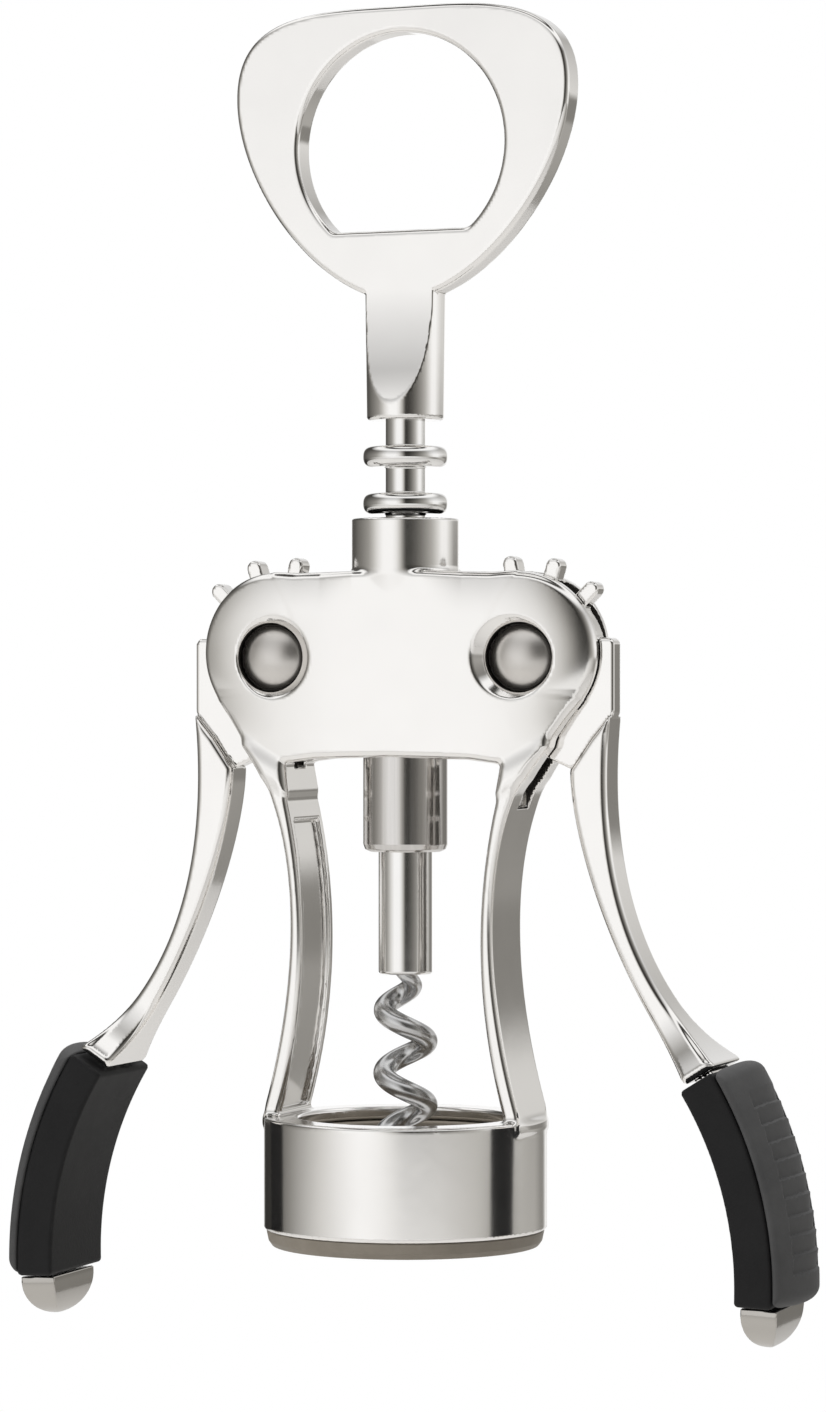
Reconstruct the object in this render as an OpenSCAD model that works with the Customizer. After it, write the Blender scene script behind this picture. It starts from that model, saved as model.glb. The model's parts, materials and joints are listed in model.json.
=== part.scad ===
// Lever corkscrew: a ringed spindle that turns and slides in a cast body frame,
// geared to two levers. +Z is up along the spindle, -Y is the front, and the
// origin is on the axis at the foot of the base ring.

/* [Base ring] */
// Diameter of the bottle finish that the ring sits over
bottle_d = 29; // [24:0.1:35]
// Gap all round between the bottle finish and the seat insert
neck_gap = 0.45; // [0.2:0.05:1]
// Wall of the seat insert
liner_wall = 2.3; // [1.5:0.1:4]
// Wall of the metal ring
ring_wall = 1.6; // [1.2:0.1:3]
// Height of the metal ring
ring_h = 14.95; // [12:0.05:20]
// Height of the seat insert's lip below the metal ring
lip_h = 2.15; // [1.5:0.05:3]
// Width of the shoulder that rests on the bottle's mouth
seat_step = 2.4; // [1.5:0.1:4]
// Thickness of the ring's top rim
rim_t = 1.8; // [1:0.1:3]

/* [Legs] */
// Height of the open window between the ring and the housing
window_h = 47.9; // [38:0.1:60]
// Width across the legs at their waist
waist_w = 28.7; // [26:0.1:34]
// Thickness of a leg
leg_t = 1.8; // [1.5:0.1:2.6]
// Depth of a leg from front to back
leg_depth = 12.6; // [10:0.1:15]
// Width of the flange down each edge of a leg
leg_flange = 1.6; // [1.2:0.1:3]
// Depth of the channel in a leg's inner face
leg_channel = 0.7; // [0.3:0.05:0.9]

/* [Housing] */
// Height of the pivots above the window
pivot_rise = 13.2; // [12.5:0.1:18]
// Height of the housing's top above the pivots
housing_rise = 11.6; // [10.8:0.1:15]
// Radius of the plates' round ends
ear_r = 10.6; // [9.5:0.1:13]
// Thickness of the plates in front of the spindle
plate_skin = 1; // [0.8:0.1:2]
// Radius of the plates' crown from side to side
crown_r = 138; // [120:1:300]
// Gap between a gear sector and each plate
slot_gap = 0.45; // [0.3:0.05:0.8]
// Height of the collar above the housing
collar_h = 6.9; // [5:0.1:10]
// Wall of the collar
collar_wall = 0.75; // [0.6:0.05:1.5]

/* [Spindle] */
// Diameter of the spindle's rings
rack_d = 11.3; // [10:0.1:14]
// Distance from ring to ring
rack_pitch = 6.25; // [5:0.05:7.5]
// Thickness of a ring
rack_ring_t = 2.75; // [2:0.05:3.3]
// Diameter of the stem between the rings
stem_d = 5.3; // [4:0.1:6]
// Number of rings above the pivots
rings_above = 5; // [4:1:6]
// Gap between the spindle's rings and the guide bush
shaft_gap = 0.25; // [0.15:0.05:0.5]
// Wall of the guide bush
bush_wall = 0.45; // [0.4:0.05:1]
// Running gap between the guide bush and the collar
bush_gap = 0.05; // [0.02:0.01:0.1]

/* [Worm] */
// Length of the worm holder
holder_h = 16.45; // [12:0.05:22]
// Diameter of the sleeve under the worm holder
sleeve_d = 7.2; // [6:0.1:9]
// Length of the sleeve
sleeve_h = 16.3; // [10:0.1:22]
// Length of the worm below the sleeve
worm_h = 34; // [28:0.5:44]
// Outside diameter of the worm
worm_d = 8.6; // [7.5:0.1:10.5]
// Thickness of the worm's wire
wire_d = 2.8; // [2:0.1:3.2]
// Rise of one turn of the worm
worm_pitch = 8.5; // [7:0.1:11]

/* [Handle] */
// Diameter of the barrel
barrel_d = 10.7; // [9.5:0.1:11.2]
// Length of the barrel
barrel_h = 16.95; // [13:0.05:22]
// Width of the opener plate
handle_w = 48.6; // [42:0.2:60]
// Height of the opener plate above the barrel
handle_h = 38.1; // [35.5:0.1:46]
// Thickness of the opener plate
handle_t = 4.2; // [3.2:0.1:5.2]
// Radius of the opener's hole
opener_r = 15; // [12.5:0.1:16]
// Resting turn of the handle about the spindle
handle_turn = -4.5; // [-30:0.5:30]

/* [Levers] */
// Teeth in a full turn of the gear sector
teeth_per_turn = 13; // [12:1:15]
// Width of a tooth
tooth_w = 2.1; // [1.6:0.05:2.3]
// Height of a tooth above the pitch circle
tooth_up = 0.67; // [0.4:0.01:1]
// Length of a tooth
tooth_h = 3.4; // [2.5:0.1:4]
// How far a tooth reaches inside the spindle's rings
mesh_depth = 1.75; // [1.2:0.05:2.2]
// Angle by which the tooth nearest the spindle hangs at rest
tooth_hang = 3.7; // [0:0.1:6]
// Slack between that tooth and the middle of its gap
mesh_slack = 0.55; // [0:0.05:0.6]
// Thickness of the gear sector
gear_t = 3.1; // [2.5:0.1:4]
// Depth of the arm from front to back
arm_depth = 6.2; // [5:0.1:8]
// Depth of the arm's flared end
flare_depth = 13.4; // [9:0.1:15]
// Diameter of the pivot pins
pin_d = 5; // [4:0.1:6]
// Running gap round the pivot pins
pin_gap = 0.05; // [0.02:0.01:0.1]
// Diameter of the pins' heads
head_d = 8.5; // [7.6:0.1:9]
// Gap round the pins' heads
head_gap = 0.35; // [0.3:0.05:0.8]

/* [Grips] */
// Distance from the pivot in to the centre of the grip's bend
bend_in = 17.2; // [12:0.1:22]
// Distance from the pivot down to the centre of the grip's bend
bend_down = 81.4; // [70:0.1:98]
// Radius of the grip's inner face
grip_r = 47.55; // [40:0.05:58]
// Thickness of the grip from its inner face to its outer edge
grip_t = 6; // [4.8:0.05:7.5]
// Crown of the pad above the grip's outer edge
pad_crown = 2.6; // [1.5:0.1:4]
// Thickness of the pad at its edge
pad_edge = 0.9; // [0.6:0.1:1.2]
// Depth of the grip from front to back
grip_depth = 17.4; // [14:0.1:21]
// Angle that the grip spans on its bend
grip_span = 34.6; // [28:0.1:41]
// Number of ribs on a pad
rib_count = 10; // [6:1:12]
// Thickness of the lever's tang
tang_t = 2.6; // [2:0.1:3]
// Depth of the tang from front to back
tang_depth = 7.2; // [5:0.1:9]
// Height of the end cap
cap_h = 5.6; // [3.5:0.1:7]

/* [Hidden] */
$fn = 64;

joint_gap = 0.1;     // between pieces that are assembled and don't move
overshoot = 1;       // how far a cutter runs past the face that it cuts
press_gap = 0.02;

// Base ring
bore_r = bottle_d / 2 + neck_gap;
ring_in_r = bore_r + liner_wall;
ring_r = ring_in_r + ring_wall;
ring_top = lip_h + ring_h;
rim_r = bore_r - 0.7;
seat_z = ring_top - rim_t - joint_gap - 2.2;
ring_edge = 0.5;

// Spindle radii
rack_r = rack_d / 2;
guide_r = rack_r + shaft_gap;
bush_r = guide_r + bush_wall;
collar_r = bush_r + bush_gap + collar_wall;

// Gear and pivots
pitch_r = teeth_per_turn * rack_pitch / (2 * PI);
tip_r = pitch_r + tooth_up;
root_r = tip_r - tooth_h;
pivot_x = rack_r + tip_r - mesh_depth;
window_z = ring_top + window_h;
pivot_z = window_z + pivot_rise;
housing_z = pivot_z + housing_rise;
collar_z = housing_z + collar_h;
bush_z = housing_z - 1.4;
bush_h = collar_z - bush_z - 2 * bush_gap;
slot_w = gear_t + 2 * slot_gap;
sweep_r = tip_r + slot_gap;
core_rise = sqrt(sweep_r * sweep_r - (pivot_x - collar_r) * (pivot_x - collar_r)) + 0.3;
face_y = guide_r + plate_skin;
pivot_face_y = face_y - crown_r + sqrt(crown_r * crown_r - pivot_x * pivot_x);
head_seat_y = slot_w / 2 + 1.4;
head_r = head_d / 2;
well_r = head_r + head_gap;

// Heights along the spindle
gap_z = pivot_z - pitch_r * sin(tooth_hang) - mesh_slack;
top_ring_z = gap_z + (rings_above - 0.5) * rack_pitch;
barrel_z = top_ring_z + rack_pitch - rack_ring_t / 2;
neck_z = barrel_z + barrel_h;
holder_top = gap_z - 1.5 * rack_pitch + rack_ring_t / 2;
holder_z = holder_top - holder_h;
sleeve_z = holder_z - sleeve_h;
spigot_r = stem_d / 2 - 0.4;
spigot_h = 8;

// Lever shape about its pivot, for the right-hand lever: [across, up]
hub_out = tip_r - 1.5;
hub_up = 2.55;
step_down = 7.35;
hub_foot = [6.3, -14.8];
end_angle = 32.8;
grip_top_angle = 32.1;
end_in_r = grip_r + 0.45;
end_out_r = grip_r + grip_t - 0.7;
tang_r = grip_r + (grip_t - pad_edge - tang_t) / 2;
bend = [-bend_in, -bend_down];
grip_low_angle = grip_top_angle - grip_span;
rib_span = grip_span * 0.74;
rib_low_angle = grip_low_angle + grip_span * 0.13;
rib_cut = 0.5;
panel_depth = grip_depth * 0.7;
// Points that pull the arm's outer and inner curves
arm_outer_pull = [[9.9, -27], [14.5, -43]];
arm_inner_pull = [[6.4, -24], [12.5, -42.5]];
arm_heel = [9.1, -10.7];
// Flare at the arm's end: a concave sweep, then a straight end
flare_r = 14;
flare_end = 1;
flare_h = flare_end + sqrt(flare_r * flare_r - pow(flare_r - (flare_depth - arm_depth) / 2, 2));

function lerp(a, b, t) = a + (b - a) * t;
function bezier(p, t) =
    pow(1 - t, 3) * p[0] + 3 * t * pow(1 - t, 2) * p[1] + 3 * t * t * (1 - t) * p[2] + pow(t, 3) * p[3];
function curve(p, steps) = [for (i = [0 : steps]) bezier(p, i / steps)];
function backwards(list) = [for (i = [len(list) - 1 : -1 : 0]) list[i]];
function arc(centre, r, from, to, steps) =
    [for (i = [0 : steps]) centre + r * [cos(lerp(from, to, i / steps)), sin(lerp(from, to, i / steps))]];
function on_bend(r, angle) = bend + r * [cos(angle), sin(angle)];

// Stands a flat outline up in the XZ plane, centred on Y
module upright(depth) rotate([90, 0, 0]) linear_extrude(depth, center = true) children();
module along_y(r, from, to) translate([0, to, 0]) rotate([90, 0, 0]) cylinder(r = r, h = to - from);
module both_sides() {
    children();
    mirror([1, 0, 0]) children();
}
module front_and_back() {
    children();
    mirror([0, 1, 0]) children();
}
// Sweeps a [radius, depth] outline round the grip's bend, between two angles
module round_bend(from, to)
    translate([bend[0], 0, bend[1]]) rotate([90, 0, 0]) rotate([0, 0, from])
        rotate_extrude(angle = to - from, $fn = 200) children();
module at_pivot() translate([pivot_x, 0, pivot_z]) children();

// Outline of a leg's outer side, from the housing down to the ring
function leg_outer() =
    let (a = [pivot_x + 3.7, window_z + 1.5], d = [ring_r - 0.25, ring_top - 1.1],
         m = (4 * waist_w - a[0] - d[0]) / 6)
    curve([a, [m + 0.9, lerp(a[1], d[1], 0.17)], [m - 0.9, lerp(a[1], d[1], 0.56)], d], 28);
function leg_inner(inset) =
    let (a = [pivot_x - 1.7 + inset, window_z - 1.5], d = [ring_r - 2.45 + inset, ring_top - 1.6],
         m = (4 * waist_w - 8 * (leg_t - inset) - a[0] - d[0]) / 6)
    curve([a, [m + 0.65, lerp(a[1], d[1], 0.28)], [m - 0.65, lerp(a[1], d[1], 0.61)], d], 28);

ear_x = pivot_x - 0.4;
ear_z = pivot_z + 0.7;
function plate_half() = [
    [pivot_x * 0.8, housing_z - 0.35],
    [ear_x, ear_z + ear_r - 0.08],
    [ear_x + (ear_r - 0.2) * cos(37), ear_z - (ear_r - 0.2) * sin(37)],
    leg_outer()[0],
    leg_outer()[4],
    leg_inner(0)[2],
    [pivot_x - 2.2, window_z - 0.9],
    [pivot_x * 0.62, window_z - 0.3]
];
module plate_outline() {
    polygon(concat([[0, housing_z]], plate_half(), [[0, window_z]],
        [for (p = backwards(plate_half())) [-p[0], p[1]]]));
    both_sides() translate([ear_x, ear_z]) circle(ear_r);
}
module leg_outline() polygon(concat(leg_outer(), backwards(leg_inner(0))));
module channel_outline() polygon(concat(leg_inner(leg_channel), backwards(leg_inner(-3))));

module leg() {
    difference() {
        upright(leg_depth) leg_outline();
        difference() {
            upright(leg_depth - 2 * leg_flange) channel_outline();
            translate([0, 0, ring_top + 0.8 - 50]) cube([100, 100, 100], center = true);
        }
    }
}
module crowned_housing() {
    intersection() {
        upright(4 * face_y) plate_outline();
        translate([0, crown_r - face_y, window_z - 20]) cylinder(r = crown_r, h = 60, $fn = 200);
        translate([0, face_y - crown_r, window_z - 20]) cylinder(r = crown_r, h = 60, $fn = 200);
    }
}
module ring_outline() polygon([
    [ring_in_r, lip_h], [ring_r - ring_edge, lip_h], [ring_r, lip_h + ring_edge],
    [ring_r, ring_top - ring_edge], [ring_r - ring_edge, ring_top], [rim_r + ring_edge, ring_top],
    [rim_r, ring_top - ring_edge], [rim_r, ring_top - rim_t], [ring_in_r, ring_top - rim_t]
]);
module pivot_well() {
    along_y(well_r, -3 * face_y, -head_seat_y);
    translate([0, -pivot_face_y - 0.2, 0]) rotate([90, 0, 0])
        translate([0, 0, -0.8]) cylinder(r1 = well_r - 0.1, r2 = well_r + 0.9, h = 1);
}

module body_frame() color("gainsboro") {
    difference() {
        union() {
            crowned_housing();
            both_sides() intersection() {
                leg();
                union() {
                    cylinder(r = ring_r, h = ring_top + window_h / 2);
                    translate([0, 0, ring_top + window_h / 2 + 50]) cube([100, 100, 100], center = true);
                }
            }
            translate([0, 0, pivot_z + core_rise]) cylinder(r = collar_r, h = collar_z - pivot_z - core_rise);
        }
        // Slot for the gear sectors, left solid above and below their sweep
        difference() {
            translate([0, 0, window_z - 6.7 + 30]) cube([100, slot_w, 60], center = true);
            translate([0, 0, pivot_z + core_rise]) cylinder(r = collar_r, h = 40);
            translate([0, 0, window_z - 20]) cylinder(r = collar_r, h = pivot_z - core_rise - window_z + 20);
        }
        translate([0, 0, window_z - 10]) cylinder(r = guide_r, h = 80);
        translate([0, 0, bush_z]) cylinder(r = bush_r + bush_gap, h = 40);
        both_sides() at_pivot() {
            along_y(pin_d / 2 + press_gap, -3 * face_y, 3 * face_y);
            front_and_back() pivot_well();
        }
    }
    rotate_extrude($fn = 128) ring_outline();
}

module seat_insert() color("tan") rotate_extrude($fn = 128) polygon([
    [bore_r + 0.6, 0], [ring_r - 1.1, 0], [ring_r - 0.6, 0.7], [ring_r - 0.3, lip_h - press_gap],
    [ring_in_r - press_gap, lip_h - press_gap], [ring_in_r - press_gap, ring_top - rim_t - joint_gap],
    [bore_r - seat_step, ring_top - rim_t - joint_gap], [bore_r - seat_step, seat_z],
    [bore_r, seat_z], [bore_r, 0.6]
]);

module guide_bush() color("dimgray") translate([0, 0, bush_z + bush_gap]) difference() {
    cylinder(r = bush_r, h = bush_h);
    translate([0, 0, -overshoot]) cylinder(r = guide_r, h = bush_h + 2 * overshoot);
}

function handle_side() = concat(
    curve([[0, handle_h], [handle_w * 0.247, handle_h], [handle_w / 2, handle_h + 0.7],
        [handle_w / 2, handle_h * 0.704]], 14),
    curve([[handle_w / 2, handle_h * 0.704], [handle_w / 2, handle_h * 0.441],
        [handle_w * 0.319, handle_h * 0.1], [barrel_d / 2 - 0.15, -0.1]], 18));
module opener_hole() intersection() {
    translate([0, handle_h - 3.5 - opener_r]) circle(opener_r, $fn = 96);
    translate([-opener_r, handle_h - 3.5 - opener_r * 1.753]) square([2 * opener_r, 2 * opener_r]);
}
module handle() color("gainsboro") rotate([0, 0, handle_turn]) {
    scoop_r = 38;
    barrel_r = barrel_d / 2;
    difference() {
        union() {
            translate([0, 0, neck_z]) upright(handle_t) difference() {
                both_sides() polygon(concat(handle_side(), [[0, -0.1]]));
                opener_hole();
            }
            difference() {
                translate([0, 0, barrel_z]) rotate_extrude() polygon([
                    [0, 0], [barrel_r - 0.5, 0], [barrel_r - 0.15, 0.35], [barrel_r, barrel_h * 0.6],
                    [barrel_r, barrel_h + 1.2], [0, barrel_h + 1.2]
                ]);
                front_and_back() translate([0, -scoop_r - handle_t / 2, neck_z + 0.3])
                    rotate([0, 90, 0]) cylinder(r = scoop_r, h = 60, center = true, $fn = 160);
            }
        }
        translate([0, 0, barrel_z - overshoot]) cylinder(r = spigot_r + press_gap, h = spigot_h + 0.3 + overshoot);
    }
}

module rack_shaft() color("gainsboro") {
    edge_r = rack_ring_t / 2;
    translate([0, 0, holder_top]) cylinder(r = stem_d / 2, h = barrel_z - holder_top);
    translate([0, 0, barrel_z - overshoot]) cylinder(r = spigot_r, h = spigot_h + overshoot);
    translate([0, 0, holder_top - 6]) cylinder(r = spigot_r, h = 7);
    for (k = [0 : rings_above])
        translate([0, 0, top_ring_z - k * rack_pitch]) rotate_extrude() {
            translate([0, -edge_r]) square([rack_r - edge_r, rack_ring_t]);
            translate([rack_r - edge_r, 0]) intersection() {
                circle(edge_r);
                translate([0, -edge_r]) square([edge_r, rack_ring_t]);
            }
        }
}

module worm_holder() color("silver") difference() {
    translate([0, 0, holder_z]) rotate_extrude() polygon([
        [0, 0], [rack_r - 0.9, 0], [rack_r - 0.25, 0.3], [rack_r, 1], [rack_r, holder_h - 0.5],
        [rack_r - 0.5, holder_h], [0, holder_h]
    ]);
    translate([0, 0, holder_top - 6.3]) cylinder(r = spigot_r + press_gap, h = 10);
    translate([0, 0, holder_z - overshoot]) cylinder(r = sleeve_d / 2 - 0.6 + press_gap, h = 4.3 + overshoot);
    translate([0, 0, holder_z]) cylinder(r = wire_d / 2 + press_gap, h = 8.3);
}

module worm_sleeve() color("gainsboro") difference() {
    union() {
        translate([0, 0, sleeve_z]) cylinder(r = sleeve_d / 2, h = sleeve_h);
        translate([0, 0, holder_z - overshoot]) cylinder(r = sleeve_d / 2 - 0.6, h = 4 + overshoot);
    }
    translate([0, 0, sleeve_z - overshoot]) cylinder(r = wire_d / 2 + press_gap, h = sleeve_h + 10);
}

// The worm: a wire that comes straight down out of the sleeve, swings out from
// the axis, winds down and tapers to a point
worm_steps = round(worm_h / worm_pitch * 20);
worm_sides = 10;
shank_top = holder_z + 8;
helix_r = (worm_d - wire_d) / 2;
helix_lean = atan(2 * PI * helix_r / worm_pitch);
function worm_out(t) = helix_r * sin(90 * min(1, t / 0.16));
function worm_wire(t) = wire_d / 2 * (t < 0.8 ? 1 : 1 - 0.82 * pow((t - 0.8) / 0.2, 1.3));
function worm_ring(t, z) =
    let (a = 360 * t * worm_h / worm_pitch, tilt = helix_lean * min(1, t / 0.1),
         out = [cos(a), sin(a), 0], across = [-sin(a) * cos(tilt), cos(a) * cos(tilt), sin(tilt)])
    [for (j = [0 : worm_sides - 1]) let (b = 360 * j / worm_sides)
        worm_out(t) * out + [0, 0, z] + worm_wire(t) * (cos(b) * out + sin(b) * across)];
module worm() color("darkgray") {
    rings = concat([worm_ring(0, shank_top)],
        [for (i = [0 : worm_steps]) worm_ring(i / worm_steps, sleeve_z - i / worm_steps * worm_h)]);
    last = len(rings) - 1;
    polyhedron(
        [for (ring = rings) each ring],
        concat(
            [[for (j = [worm_sides - 1 : -1 : 0]) j]],
            [[for (j = [0 : worm_sides - 1]) last * worm_sides + j]],
            [for (i = [0 : last - 1], j = [0 : worm_sides - 1])
                let (k = (j + 1) % worm_sides, a = i * worm_sides, b = a + worm_sides)
                each [[a + j, a + k, b + k], [a + j, b + k, b + j]]]));
}

// Levers. Each shape is drawn about the right-hand pivot and mirrored for the left
module gear_outline() difference() {
    union() {
        circle(root_r);
        for (k = [-1 : 5]) rotate(180 + tooth_hang - k * 360 / teeth_per_turn) {
            translate([0, -tooth_w / 2]) square([tip_r - tooth_w / 2, tooth_w]);
            translate([tip_r - tooth_w / 2, 0]) circle(tooth_w / 2);
        }
        polygon([
            [0, hub_up], [hub_out - 0.5, hub_up], [hub_out, hub_up - 0.6], [hub_out, -step_down],
            hub_foot, [hub_foot[0] - 3.4, hub_foot[1] + 1.5], [-1, -root_r + 0.2]
        ]);
    }
    circle(pin_d / 2 + pin_gap);
}
function arm_outer() =
    curve([[hub_out - 0.2, -step_down], each arm_outer_pull, on_bend(end_out_r, end_angle)], 24);
function arm_inner() = curve([hub_foot, each arm_inner_pull, on_bend(end_in_r, end_angle)], 24);
module arm_outline() polygon(concat(arm_outer(), backwards(arm_inner()), [arm_heel]));
module lever() at_pivot() {
    upright(gear_t) gear_outline();
    upright(arm_depth) arm_outline();
    difference() {
        intersection() {
            upright(flare_depth) arm_outline();
            translate([bend[0], 0, bend[1]]) rotate([0, -end_angle, 0])
                translate([grip_r, 0, flare_h / 2 - overshoot])
                    cube([20, 2 * flare_depth, flare_h + 2 * overshoot], center = true);
        }
        front_and_back() translate([bend[0], 0, bend[1]]) rotate([0, -end_angle, 0])
            translate([0, arm_depth / 2 + flare_r, flare_h]) rotate([0, 90, 0])
                cylinder(r = flare_r, h = 100, $fn = 160);
    }
    round_bend(grip_low_angle - 1.6, end_angle + 2)
        translate([tang_r, -tang_depth / 2]) square([tang_t, tang_depth]);
}
module left_lever() color("gainsboro") mirror([1, 0, 0]) lever();
module right_lever() color("gainsboro") lever();

module grip_section(inner, outer, depth, corner) difference() {
    translate([inner, -depth / 2]) square([outer - inner, depth]);
    for (s = [-1, 1]) translate([inner, s * depth / 2]) rotate(45) square(corner * sqrt(2), center = true);
}
module grip() at_pivot() difference() {
    round_bend(grip_low_angle, grip_top_angle)
        grip_section(grip_r, grip_r + grip_t - pad_edge, grip_depth, 0.8);
    round_bend(grip_low_angle - 5, grip_top_angle + 5)
        translate([tang_r - joint_gap, -tang_depth / 2 - joint_gap])
            square([tang_t + 2 * joint_gap, tang_depth + 2 * joint_gap]);
}
module left_grip() color("#262626") mirror([1, 0, 0]) grip();
module right_grip() color("#262626") grip();

pad_in_r = grip_r + grip_t - pad_edge + 0.05;
function pad_top(y) = grip_r + grip_t + pad_crown * (1 - pow(2 * y / grip_depth, 2));
module pad_section() polygon(concat(
    [for (i = [-12 : 12]) let (y = i / 12 * grip_depth / 2) [pad_top(y), y]],
    [[pad_in_r, grip_depth / 2], [pad_in_r, -grip_depth / 2]]));
module grip_pad() at_pivot() difference() {
    round_bend(grip_low_angle, grip_top_angle) pad_section();
    for (k = [0 : rib_count - 1])
        round_bend(rib_low_angle + k * rib_span / rib_count, rib_low_angle + (k + 0.45) * rib_span / rib_count)
            intersection() {
                translate([pad_in_r, -panel_depth / 2]) square([20, panel_depth]);
                difference() {
                    translate([pad_in_r, -grip_depth]) square([20, 2 * grip_depth]);
                    translate([-rib_cut, 0]) pad_section();
                }
            }
}
module left_grip_pad() color("#303030") mirror([1, 0, 0]) grip_pad();
module right_grip_pad() color("#303030") grip_pad();

// A domed tip: two half-round profiles that cross, so that ridges run down its corners
module end_cap() at_pivot() translate([bend[0], 0, bend[1]]) rotate([0, -(grip_low_angle - 0.35), 0]) {
    cap_w = grip_t - 1.1;
    cap_depth = grip_depth - 4;
    translate([grip_r + 0.45 + cap_w / 2, 0, 0]) difference() {
        intersection() {
            upright(cap_depth + 1) dome(cap_w / 2);
            rotate([0, 0, 90]) upright(cap_w + 1) dome(cap_depth / 2);
        }
        translate([tang_r - grip_r - 0.45 - cap_w / 2 - joint_gap, -tang_depth / 2 - joint_gap, -2])
            cube([tang_t + 2 * joint_gap, tang_depth + 2 * joint_gap, 3]);
    }
}
module dome(half) polygon(concat([[-half, 0], [half, 0]],
    [for (i = [0 : 24]) let (a = -180 * i / 24) [half * cos(a), -0.6 - (cap_h - 0.6) * pow(-sin(a), 0.8)]]));
module left_end_cap() color("silver") mirror([1, 0, 0]) end_cap();
module right_end_cap() color("silver") end_cap();

module pivot_pin() at_pivot() {
    dome_h = 1.5;
    dome_r = (head_r * head_r + dome_h * dome_h) / (2 * dome_h);
    along_y(pin_d / 2, -head_seat_y - 0.2, head_seat_y + 0.2);
    front_and_back() translate([0, -head_seat_y - press_gap, 0]) rotate([90, 0, 0]) rotate_extrude() polygon(concat(
        [[0, 0], [head_r - 0.15, 0], [head_r, 0.3]],
        [for (i = [1 : 12]) let (x = head_r * (1 - i / 12))
            [x, 0.3 + sqrt(dome_r * dome_r - x * x) - dome_r + dome_h]]));
}
module left_pivot_pin() color("darkgray") mirror([1, 0, 0]) pivot_pin();
module right_pivot_pin() color("darkgray") pivot_pin();

body_frame();
seat_insert();
guide_bush();
handle();
rack_shaft();
worm_holder();
worm_sleeve();
worm();
left_lever();
right_lever();
left_grip();
right_grip();
left_grip_pad();
right_grip_pad();
left_end_cap();
right_end_cap();
left_pivot_pin();
right_pivot_pin();
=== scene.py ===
import json
import math
import bpy
import numpy as np
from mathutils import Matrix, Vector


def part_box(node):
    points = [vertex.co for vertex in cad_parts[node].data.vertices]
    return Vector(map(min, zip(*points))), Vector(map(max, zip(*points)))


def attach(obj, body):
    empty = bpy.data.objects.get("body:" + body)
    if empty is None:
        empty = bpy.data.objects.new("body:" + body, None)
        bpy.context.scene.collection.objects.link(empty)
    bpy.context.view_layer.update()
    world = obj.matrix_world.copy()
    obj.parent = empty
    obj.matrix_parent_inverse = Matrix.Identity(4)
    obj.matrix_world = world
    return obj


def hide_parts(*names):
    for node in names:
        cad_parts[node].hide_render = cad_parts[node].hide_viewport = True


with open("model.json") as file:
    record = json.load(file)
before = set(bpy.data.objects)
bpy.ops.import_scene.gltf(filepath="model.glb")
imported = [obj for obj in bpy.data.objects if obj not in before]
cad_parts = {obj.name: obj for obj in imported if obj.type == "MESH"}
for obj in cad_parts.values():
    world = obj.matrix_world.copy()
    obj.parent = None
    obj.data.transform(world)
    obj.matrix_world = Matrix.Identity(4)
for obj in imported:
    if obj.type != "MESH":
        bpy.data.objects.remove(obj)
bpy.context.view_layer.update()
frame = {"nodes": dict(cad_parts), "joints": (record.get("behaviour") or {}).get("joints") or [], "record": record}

import openvdb
from mathutils import Vector

# Lengths below are in millimetres in the corkscrew's own frame: Z up the spindle,
# -Y the front, origin at the foot of the base ring. They become metres in makeMesh.
mm = 0.001
leverPivot = next(joint for joint in frame["joints"] if joint["name"] == "right_lever_pivot")
pivotX, _, pivotZ = [v / mm for v in leverPivot["pos_m"]]


def low(node):
    return [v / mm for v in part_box(node)[0]]


def high(node):
    return [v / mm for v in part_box(node)[1]]


camera = {
    "side": 20.0,          # degrees round to the right-hand lever
    "distance": 640.0,
    "height": 75.2,
    "lens": 122.38,
    "sensor": 36.0,
    "shift": (0.0053, -0.0184),
    "clip": (0.01, 50.0),  # metres
}


def placeCamera():
    data = bpy.data.cameras.new("studioCamera")
    data.lens = camera["lens"]
    data.sensor_width = camera["sensor"]
    data.shift_x, data.shift_y = camera["shift"]
    data.clip_start, data.clip_end = camera["clip"]
    view = bpy.data.objects.new("studioCamera", data)
    bpy.context.scene.collection.objects.link(view)
    side = math.radians(camera["side"])
    reach = camera["distance"] * mm
    view.location = (reach * math.sin(side), -reach * math.cos(side), camera["height"] * mm)
    view.rotation_euler = (math.radians(90), 0.0, side)
    bpy.context.scene.camera = view
    print("camera placed")


def nodeIn(tree, kind, **values):
    made = tree.nodes.new(kind)
    for key, value in values.items():
        if key in made.inputs:
            made.inputs[key].default_value = value
        else:
            setattr(made, key, value)
    return made


studio = {
    "floorHeight": -300.0,
    "floorRadius": 1250.0,
    "floorSides": 96,
    "floorColour": (0.80, 0.79, 0.775, 1.0),
    "floorRough": 0.9,
    "floorSheen": 0.1,
    "sky": 1.05,
}
# places and sizes in metres
lamps = {
    "keyLight": {"place": (-0.55, -0.75, 0.75), "aim": (0, 0, 0.08), "size": (0.5, 0.4), "power": 5.0},
    "topLight": {"place": (0.1, 0.35, 1.0), "aim": (0, 0, 0.05), "size": (0.7, 0.5), "power": 6.0},
}


def rampNode(tree, stops, interpolation="EASE"):
    ramp = tree.nodes.new("ShaderNodeValToRGB")
    ramp.color_ramp.interpolation = interpolation
    band = ramp.color_ramp
    while len(band.elements) > 1:
        band.elements.remove(band.elements[-1])
    band.elements[0].position = stops[0][0]
    band.elements[0].color = (*stops[0][1], 1.0)
    for place, colour in stops[1:]:
        band.elements.new(place).color = (*colour, 1.0)
    return ramp


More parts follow.
